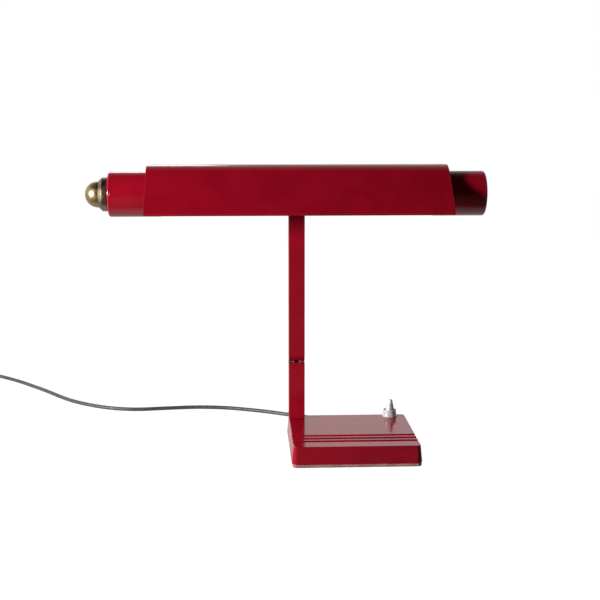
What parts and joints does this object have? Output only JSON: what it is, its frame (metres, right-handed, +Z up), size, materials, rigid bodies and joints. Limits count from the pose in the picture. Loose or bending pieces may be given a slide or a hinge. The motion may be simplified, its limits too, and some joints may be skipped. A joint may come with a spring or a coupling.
{
  "type": "desk lamp",
  "caption": "Desk lamp with a weighted square base, jointed square stem, tubular head with strip lamp and a folded turning shade.",
  "frame": {"origin": "centre of the felt underside of the base", "axes": "+X along the head to the right, +Y to the back of the base where the stem stands, +Z up"},
  "size_m": [0.8098, 0.5656, 0.348],
  "materials": {
    "red_cast": "glossy oxblood lacquer over cast iron",
    "red_paint": "glossy red stove enamel with fine scratches",
    "felt": "worn beige-pink felt",
    "zinc_steel": "zinc plated",
    "spring_steel": "blued spring steel",
    "brass": "polished, slightly tarnished",
    "aged_brass": "dark olive patina",
    "aluminium": "spun lamp ferrule",
    "tungsten": "drawn wire",
    "ceramic": "unglazed steatite",
    "bakelite": "dark phenolic moulding",
    "white_plastic": "white urea moulding",
    "lead_sheath": "thin insulated lead",
    "lamp_glass": "frosted tube",
    "cord": "dull dark grey sheath",
    "black_rubber": "matte black",
    "plug_rubber": "moulded dark plug",
    "nickel": "nickel plated pins"
  },
  "bodies": {
    "base": {"base_casting": "red_cast", "base_plate": "zinc_steel", "base_plate_screws": "zinc_steel", "base_felt": "felt", "cord_relief": "black_rubber", "cord_clamp": "bakelite", "cord_clamp_screws": "zinc_steel", "terminal_block": "ceramic", "terminal_screws": "brass", "base_leads": "lead_sheath", "switch_body": "bakelite", "switch_tags": "brass", "switch_nut": "zinc_steel", "switch_collar": "white_plastic", "lever_pin": "zinc_steel", "foot_slip_washer": "brass", "foot_washer": "zinc_steel", "cord_tube": "cord", "cord_coil": "cord", "cord_end": "cord", "coil_tie": "black_rubber", "plug_body": "plug_rubber", "plug_pins": "nickel"},
    "lower_arm": {"foot_stud": "zinc_steel", "foot_nut": "zinc_steel", "foot_plug": "red_paint", "lower_tube": "red_paint", "lower_lead": "lead_sheath", "knee_tongue": "red_paint"},
    "upper_arm": {"knee_fork": "red_paint", "knee_screw": "red_paint", "knee_friction_washers": "brass", "upper_tube": "red_paint", "upper_lead": "lead_sheath", "head_saddle": "red_paint", "head_nut": "zinc_steel", "head_tube": "red_paint", "left_cap": "red_paint", "right_cap": "red_paint", "knob_stud": "brass", "knob_ring": "aged_brass", "left_holder": "ceramic", "right_holder": "ceramic", "holder_screws": "zinc_steel", "contact_springs": "brass", "head_leads": "lead_sheath", "lamp_glass": "lamp_glass", "lamp_ferrules": "aluminium", "lamp_filament": "tungsten"},
    "shade": {"shade": "red_paint", "shade_clips": "spring_steel", "shade_rivets": "red_paint"},
    "knob": {"knob_dome": "brass"},
    "lever": {"switch_lever": "white_plastic"}
  },
  "joints": [
    {"name": "foot_swivel", "type": "hinge", "parent": "base", "child": "lower_arm", "pos_m": [-0.065, 0.065, 0.025], "axis": [0, 0, 1], "range_deg": [-90, 90]},
    {"name": "knee_tilt", "type": "hinge", "parent": "lower_arm", "child": "upper_arm", "pos_m": [-0.065, 0.065, 0.1085], "axis": [1, 0, 0], "range_deg": [-45, 25]},
    {"name": "shade_turn", "type": "hinge", "parent": "upper_arm", "child": "shade", "pos_m": [-0.0635, 0.065, 0.3115], "axis": [1, 0, 0], "range_deg": [-50, 50]},
    {"name": "knob_turn", "type": "hinge", "parent": "upper_arm", "child": "knob", "pos_m": [-0.309, 0.065, 0.3115], "axis": [1, 0, 0], "continuous": true},
    {"name": "switch_throw", "type": "hinge", "parent": "base", "child": "lever", "pos_m": [0.055, 0.065, 0.031], "axis": [0, 1, 0], "range_deg": [-10, 0]}
  ]
}
